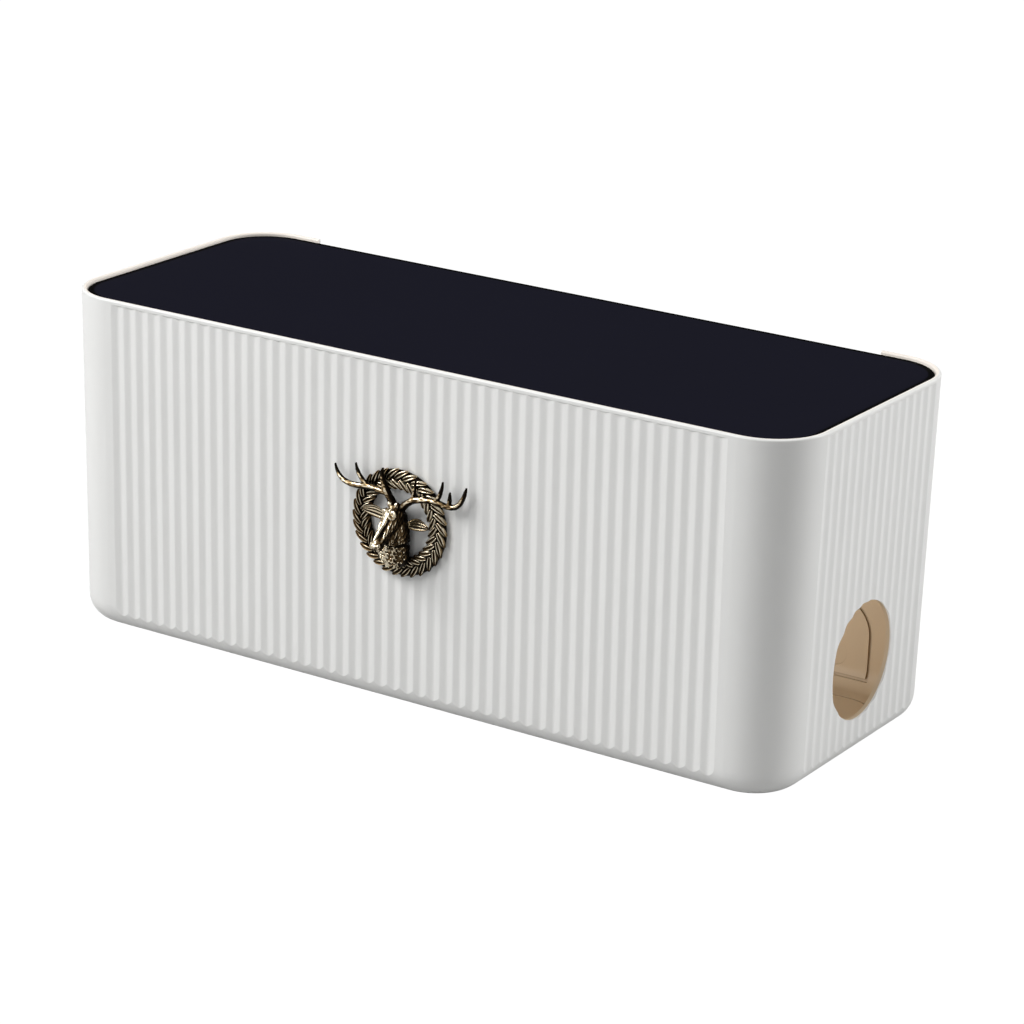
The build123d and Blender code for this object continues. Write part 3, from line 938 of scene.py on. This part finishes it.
# Eggs on the middle line: place along and out of the brow, then the three half sizes
middle_eggs = [
    (17.3, 0.45, (2.0, 0.9, 1.0)),  # tip of the nose
    (15.8, -2.6, (1.5, 0.9, 2.0)),  # chin
    (10.5, 2.3, (1.0, 0.9, 6.2)),   # bridge of the nose
]
forms = []
skull_rings = []
turn = np.linspace(0, 2 * math.pi, 36, endpoint=False)
for along, half_width, above, below in skull_sections:
    power = np.where(np.sin(turn) > 0, top_narrowness, underside_fullness)
    side = np.sign(np.cos(turn)) * np.abs(np.cos(turn)) ** power * half_width
    tall = np.sin(turn) * np.where(np.sin(turn) > 0, above, below)
    skull_rings.append(on_head(0, along, 0) + np.outer(side, across_head) + np.outer(tall, out_of_brow))
forms.append(loft(skull_rings))
for side in (-1, 1):
    for across, along, brow, radii in paired_eggs:
        forms.append(head_ball(side * across, along, brow, radii))
for along, brow, radii in middle_eggs:
    forms.append(head_ball(0, along, brow, radii))

mane_middle = -6.5
mane_half_height = 9.9
mane_half_width = 6.1
mane_reach = 8.2


def mane_size(up):
    """The mane's half width and its reach out of the wall, at a height on the wall."""
    share = min(abs(up - mane_middle) / mane_half_height, 0.995)
    return mane_half_width * (1 - share ** 3) ** 0.33, mane_reach * (1 - share ** 3) ** 0.25


mane_rings = []
for up in np.linspace(2.0, -16.3, 24):
    half_width, out = mane_size(up)
    mane_rings.append(ring((0, up, out / 2), (half_width, 0, 0), (0, 0, out / 2), 36))
forms.append(loft(mane_rings))
stag_head = mesh_piece("stag_head", forms)
melt(stag_head)

# %% [markdown]
# Now the skin is pushed about, as a sculptor would with small tools. Each push has a place, a width and a
# depth: sockets and lids for the eyes, nostrils, the line of the mouth and of the jaw. Last comes the fur,
# a noise that is stretched along the head so that it falls into strands. The bridge of the nose and the
# lids stay smooth and are polished bright. A painted highlight runs along the left of the bridge and rings
# the eyes, most of all the right one, and painted shade darkens the fold under the jaw, the right flank of
# the nose and the low faces turned to the right.

# %% Stag's head: carving
eyelid_radius = 1.35
# On both sides of the head: a groove's path as across, along and out of the brow, its depth and half width
paired_grooves = [
    # nostril
    ([(1.2, 18.0, 0.4), (2.2, 17.2, 0.5)], 0.75, 0.62),
    # mouth
    ([(0, 18.4, -1.3), (1.7, 17.2, -1.8), (2.6, 15.0, -2.1), (3.2, 12.6, -2.3)], 0.5, 0.55),
    # jaw
    ([(2.2, 13.8, -4.3), (3.9, 11.2, -5.1), (4.6, 7.5, -6.6), (4.6, 4.5, -7.6)], 0.9, 1.0),
    # flank of the nose
    ([(1.7, 7.0, 2.9), (1.4, 11.0, 2.0), (1.4, 14.5, 1.1)], 0.45, 0.75),
]
# The fold between cheek and mane, drawn as it is seen from the front right; it is carved and carries a
# painted shadow line
fold_path = [
    (-7.7, -10.7, 0), (-5.9, -11.3, 0), (-3.1, -10.9, 0), (-0.5, -9.7, 0), (2.7, -8.4, 0), (5.3, -6.5, 0),
]
way_to_front_right = (0.7, 0.45, 1.0)

skin = stag_head.data
points = read_points(skin)
normals = read_points(skin, "normal")
push = np.zeros(len(points))
polish_and_painted_light = np.zeros(len(points))
bridge = [on_head(0, 2.5, 4.6), on_head(0, 7.0, 3.9), on_head(0, 12.0, 2.5), on_head(0, 17.2, 1.2)]
for side in (-1, 1):
    eye = on_head(side * 1.8, 4.9, 3.5)
    from_eye = np.linalg.norm(points - eye, axis=1)
    push -= 0.55 * fade(from_eye, 1.0)
    push += 0.45 * fade(np.abs(from_eye - eyelid_radius), 0.8)
    # A painted highlight rings each eye, stronger round the right one, and the middle is dark
    polish_and_painted_light += (0.35 + 0.25 * side) * fade(np.maximum(from_eye - 1.1, 0), 1.2) - 0.9 * fade(from_eye, 0.8)
    for path, groove_depth, half_width in paired_grooves:
        groove = [on_head(side * across, along, brow) for across, along, brow in path]
        push -= groove_depth * fade(distance_to_path(points, groove), half_width)
push -= 0.3 * fade(distance_to_path(points, [on_head(0, 18.6, 0.2), on_head(0, 18.4, -1.3)]), 0.4)
fold = distance_to_path(points - np.outer(points[:, 2], way_to_front_right), fold_path)
push -= 0.5 * fade(fold, 0.9)
# Painted shadow along the fold under the jaw
polish_and_painted_light -= 0.9 * fade(fold, 1.0)
from_poll = points - poll
along = from_poll @ along_head
above = from_poll @ out_of_brow
strands = noise_at(np.stack((points[:, 0] * 1.7, above * 1.7 + along * 0.5, along * 0.5), axis=1))
clumps = noise_at(points * 0.9)
on_neck = np.clip((-points[:, 1] - 6.5 + 0.35 * (points[:, 2] - 6)) / 2, 0, 1)
furry = np.clip((15.5 - along) / 3.0, 0, 1) * (1 - 0.4 * on_neck)
smooth_bridge = fade(distance_to_path(points, bridge), 2.4)
push += (0.32 * strands + 0.12 * clumps) * furry * (1 - smooth_bridge)
points += normals * push[:, None]
points[:, 2] = np.maximum(points[:, 2], 0.4)
write_points(skin, points)
sideways = from_poll @ across_head
# A painted highlight along the left of the bridge of the nose
painted_highlight_left_of_middle = np.clip(0.9 - sideways, 0, 1) * np.clip(above / 1.5, 0, 1)
polish_and_painted_light += 0.9 * painted_highlight_left_of_middle * fade(distance_to_path(points, bridge), 3.2)
polish_and_painted_light -= 0.3 * furry * (1 - smooth_bridge * painted_highlight_left_of_middle)
# Painted shade along the right flank of the nose
right_flank_painted_shade = [on_head(1.5, 6.8, 2.9), on_head(1.3, 11.0, 2.0), on_head(1.4, 15.0, 1.1)]
polish_and_painted_light -= 0.6 * fade(distance_to_path(points, right_flank_painted_shade), 0.9)
# Painted shade on faces turned to the right, low on the head
polish_and_painted_light -= 0.3 * np.clip(normals[:, 0], 0, 1) * np.clip((8 - points[:, 2]) / 4, 0, 1)
put_on_wall(stag_head, polish_and_painted_light, ["badge_stag_head"])

eyes = []
for side in (-1, 1):
    eyes.append(ball(on_head(side * 1.75, 4.9, 3.2), (0.65, 0.6, 0.65), head_axes, 11, 18))
stag_eyes = mesh_piece("stag_eyes", eyes)
put_on_wall(stag_eyes, polish_and_painted_light=np.full(len(stag_eyes.data.vertices), -0.6))
print("eyes:", len(eyes))

# %% [markdown]
# ## Ears
# A deer's ear is a long cupped leaf. Each ring here is a shallow trough: the outer skin first, then the
# inner skin back the other way, with fine ridges inside where the hair lies. The right ear hangs a little
# lower than the left one.

# %% Ears
ear_base = np.array((4.6, 1.9, 3.4))
ear_tip = np.array((15.0, 3.6, 4.5))
right_ear_drop = np.array((0.1, -1.3, -0.2))
right_tip_share = 1.6
ear_half_width = 2.5
ear_inner_width = 0.96
ear_depth = 1.25
ear_wall = 0.42
ear_ridge = 0.42
ear_arch = 0.9
# Share of the way to the tip, then width and depth of the cup as shares of the largest
ear_stations = (
    (0.0, 0.42, 0.9), (0.10, 0.62, 1.1), (0.25, 0.90, 1.1), (0.42, 1.0, 1.0), (0.58, 0.96, 0.85),
    (0.74, 0.76, 0.6), (0.87, 0.46, 0.35), (0.95, 0.24, 0.2), (1.0, 0.06, 0.1),
)


def ear(side):
    """The right ear (side 1) or the left one (side -1)."""
    mirror = np.array((side, 1, 1))
    base, tip = ear_base * mirror, ear_tip * mirror
    if side > 0:
        base, tip = base + right_ear_drop, tip + right_tip_share * right_ear_drop
    along = Vector(tip - base)
    facing = Vector((side * 0.1, 0.05, 1.0))
    facing = (facing - along.normalized() * facing.dot(along.normalized())).normalized()
    across = along.normalized().cross(facing)
    rings = []
    for share, width, cup in ear_stations:
        middle = Vector(base) + along * share + Vector((0, ear_arch * math.sin(math.pi * share), 0))
        profile = []
        for place in np.linspace(-1, 1, 9):
            sideways = across * (ear_half_width * width * place)
            drop = ear_depth * cup * (1 - place * place) + ear_wall * (1 - 0.5 * abs(place))
            profile.append(middle + sideways - facing * drop)
        for place in np.linspace(1, -1, 13):
            sideways = across * (ear_half_width * width * place * ear_inner_width)
            ridge = ear_ridge * math.cos(4 * math.pi * place) * (1 - abs(place) ** 3)
            profile.append(middle + sideways - facing * (ear_depth * cup * (1 - place * place) - ridge))
        rings.append(np.array([tuple(point) for point in profile]))
    return loft(rings)


stag_ears = mesh_piece("stag_ears", [ear(-1), ear(1)])
rounding = stag_ears.modifiers.new("rounding", "SUBSURF")
rounding.levels = rounding.render_levels = 2
settle(stag_ears)
put_on_wall(stag_ears, polish_and_painted_light=0.9 * np.clip(relief_of(stag_ears), -1, 1))
print("ear faces:", len(stag_ears.data.polygons))

# %% [markdown]
# ## Curls of the mane
# Under the jaw the mane falls in short curls. Each is a bar that tapers as it winds inward, pressed
# halfway into the mane. They lie in rows like scales, and every other one winds the other way.

# %% Mane curls
def mane_surface(across, up):
    """Where the mane's skin is, and which way it faces, at a place seen from the front."""
    half_width, out = mane_size(up)
    share = min(abs(across) / half_width, 0.97)
    rise = math.sqrt(1 - share * share)
    place = Vector((across, up, out / 2 * (1 + rise)))
    facing = Vector((math.copysign(share / half_width, across), 0, rise / (out / 2))).normalized()
    return place, facing


def curl(across, up, size, hand):
    """One curl. hand is 1 or -1, for the way it winds."""
    place, facing = mane_surface(across, up)
    down = (Vector((0, -1, 0)) + facing * facing.y).normalized()
    beside = facing.cross(down)
    path, radii = [], []
    for share in np.linspace(0, 1, 11):
        turn = hand * share * 4.6
        reach = size * (1 - 0.68 * share)
        spot = place + down * (reach * math.cos(turn) - size * 0.2) + beside * (reach * math.sin(turn))
        path.append(tuple(spot + facing * (0.12 + 0.25 * share)))
        radii.append(0.46 * (1 - 0.5 * share))
    return tube(path, radii, 7)


curls = []
curl_step = 1.75
curl_rows = 6
first_row_up = -8.0
row_step = 1.45
for row in range(curl_rows):
    up = first_row_up - row * row_step
    half_width = mane_size(up)[0]
    for index in range(-4, 5):
        across = (index + 0.5 * (row % 2)) * curl_step
        if abs(across) < 0.97 * half_width:
            hand = 1 if (index + row) % 2 else -1
            curl_across = across + chance.uniform(-0.2, 0.2)
            curl_up = up + chance.uniform(-0.2, 0.2)
            curls.append(curl(curl_across, curl_up, chance.uniform(0.95, 1.2), hand))
stag_mane = mesh_piece("stag_mane", curls)
curl_points = read_points(stag_mane.data)
# Polish that is also painted light: the curls are bright on the left and fade to dark on the right
put_on_wall(stag_mane, polish_and_painted_light=0.5 - 0.5 * np.clip((curl_points[:, 0] + 1) / 4, 0, 1))
print("curls:", len(curls))

# %% [markdown]
# ## Antlers
# An antler is a main beam that sweeps sideways and turns up, with tines that rise from it. Curves suit
# them: each is a Bezier curve whose points carry a radius. They are turned into meshes, melted into one,
# and grooved along their length. The ring of beads at the root is called the coronet.

# %% Antlers
# Each row of a horn is a place and the horn's radius there
left_trunk = (
    (-0.5, 4.9, 2.4, 1.7), (-1.3, 7.4, 3.2, 1.6), (-2.1, 9.6, 3.8, 1.5), (-3.5, 11.8, 4.0, 1.45),
    (-4.9, 14.4, 3.9, 1.2), (-6.0, 17.1, 3.7, 1.0), (-6.5, 18.8, 3.5, 0.8), (-6.0, 20.8, 3.3, 0.45),
)
left_beam = (
    (-3.7, 11.9, 4.0, 1.1), (-6.5, 12.0, 4.0, 1.3), (-9.3, 12.4, 3.9, 1.3), (-12.4, 12.6, 3.9, 1.25),
    (-15.5, 12.0, 3.8, 1.2), (-18.7, 11.8, 3.6, 1.1), (-22.1, 11.9, 3.2, 1.05), (-25.1, 13.0, 2.8, 0.95),
    (-27.1, 14.8, 2.4, 0.75), (-28.6, 17.8, 2.1, 0.4),
)
left_tine = (
    (-11.3, 12.4, 3.9, 0.9), (-13.9, 13.8, 3.9, 0.95), (-15.9, 15.6, 3.7, 0.9), (-17.5, 17.6, 3.3, 0.75),
    (-18.7, 20.2, 2.8, 0.4),
)
right_beam = (
    (0.3, 4.9, 2.4, 1.6), (2.8, 7.2, 3.2, 1.5), (5.4, 9.5, 3.8, 1.35), (8.0, 11.1, 4.0, 1.3),
    (10.9, 11.9, 3.9, 1.2), (14.2, 12.4, 3.9, 1.15), (16.9, 12.5, 3.9, 1.1), (19.8, 12.2, 3.8, 1.1),
    (22.5, 11.6, 3.4, 1.1), (24.9, 11.7, 3.0, 1.1), (27.0, 12.9, 2.7, 1.05), (28.7, 15.6, 2.4, 0.9),
    (29.6, 18.2, 2.2, 0.7), (29.9, 19.9, 2.0, 0.4),
)
right_brow_tine = (
    (7.1, 10.9, 4.0, 0.8), (8.1, 13.5, 3.9, 0.75), (8.5, 16.3, 3.7, 0.6), (8.6, 19.3, 3.3, 0.35),
)
right_tall_tine = (
    (17.4, 12.5, 3.9, 0.9), (19.2, 14.8, 3.9, 0.9), (20.0, 17.3, 3.6, 0.75), (20.4, 20.7, 3.1, 0.4),
)
right_short_tine = ((23.3, 11.6, 3.2, 0.9), (23.3, 14.2, 3.0, 0.85), (23.2, 17.1, 2.6, 0.4))


def horn(rows):
    """A smooth tapering horn, made as a curve and turned into points and faces."""
    line = bpy.data.curves.new("horn", "CURVE")
    line.dimensions = "3D"
    line.bevel_depth = 1.0
    line.bevel_resolution = 4
    line.resolution_u = 10
    line.use_fill_caps = True
    spline = line.splines.new("BEZIER")
    spline.bezier_points.add(len(rows) - 1)
    for knot, row in zip(spline.bezier_points, rows):
        knot.co = row[:3]
        knot.radius = row[3]
        knot.handle_left_type = knot.handle_right_type = "AUTO"
    holder = bpy.data.objects.new("horn", line)
    bpy.context.scene.collection.objects.link(holder)
    whole = bpy.context.evaluated_depsgraph_get()
    skin = bpy.data.meshes.new_from_object(holder.evaluated_get(whole))
    shape = read_points(skin), [tuple(face.vertices) for face in skin.polygons]
    bpy.data.objects.remove(holder)
    return shape


bead_count = 9
bead_radius = 0.4
coronet_radius = 1.5
antler_groove_depth = 0.1
tip_darkening = 0.8
tip_darkening_reach = 6.0


def antler(name, horns, replaced):
    """One antler from its horns. The first of them carries the ring of beads."""
    shapes = [horn(rows) for rows in horns]
    root = Vector(horns[0][0][:3]).lerp(Vector(horns[0][1][:3]), 0.6)
    way = (Vector(horns[0][1][:3]) - Vector(horns[0][0][:3])).normalized()
    side = way.orthogonal().normalized()
    for bead in range(bead_count):
        turn = 2 * math.pi * bead / bead_count
        spot = root + (side * math.cos(turn) + way.cross(side) * math.sin(turn)) * coronet_radius
        shapes.append(ball(spot, (bead_radius, bead_radius, bead_radius), levels=6, count=10))
    piece = mesh_piece(name, shapes)
    melt(piece)
    points = read_points(piece.data)
    grooves = noise_at(points * np.array((0.5, 1.3, 2.4)))
    points += read_points(piece.data, "normal") * (antler_groove_depth * grooves)[:, None]
    write_points(piece.data, points)
    squarely = read_points(piece.data, "normal") @ cloth_and_key_light_from
    # Polish along the grooves, with painted shade on faces turned away from the cloth and the main light
    polish_and_painted_light = 0.25 * grooves - 0.29 - 1.8 * np.clip(0.96 - squarely, 0, 0.5)
    # Darker towards the tip of each horn
    for rows in horns:
        from_tip = np.linalg.norm(points - np.array(rows[-1][:3]), axis=1)
        polish_and_painted_light -= tip_darkening * fade(from_tip, tip_darkening_reach)
    put_on_wall(piece, polish_and_painted_light, [replaced], 0.35 + 0.2 * np.clip(relief_of(piece), -1, 1))
    return piece


antler_left = antler("antler_left", [left_trunk, left_beam, left_tine], "badge_antler_left")
antler_right = antler(
    "antler_right", [right_beam, right_brow_tine, right_tall_tine, right_short_tine], "badge_antler_right"
)
print("antler faces:", len(antler_left.data.polygons), len(antler_right.data.polygons))
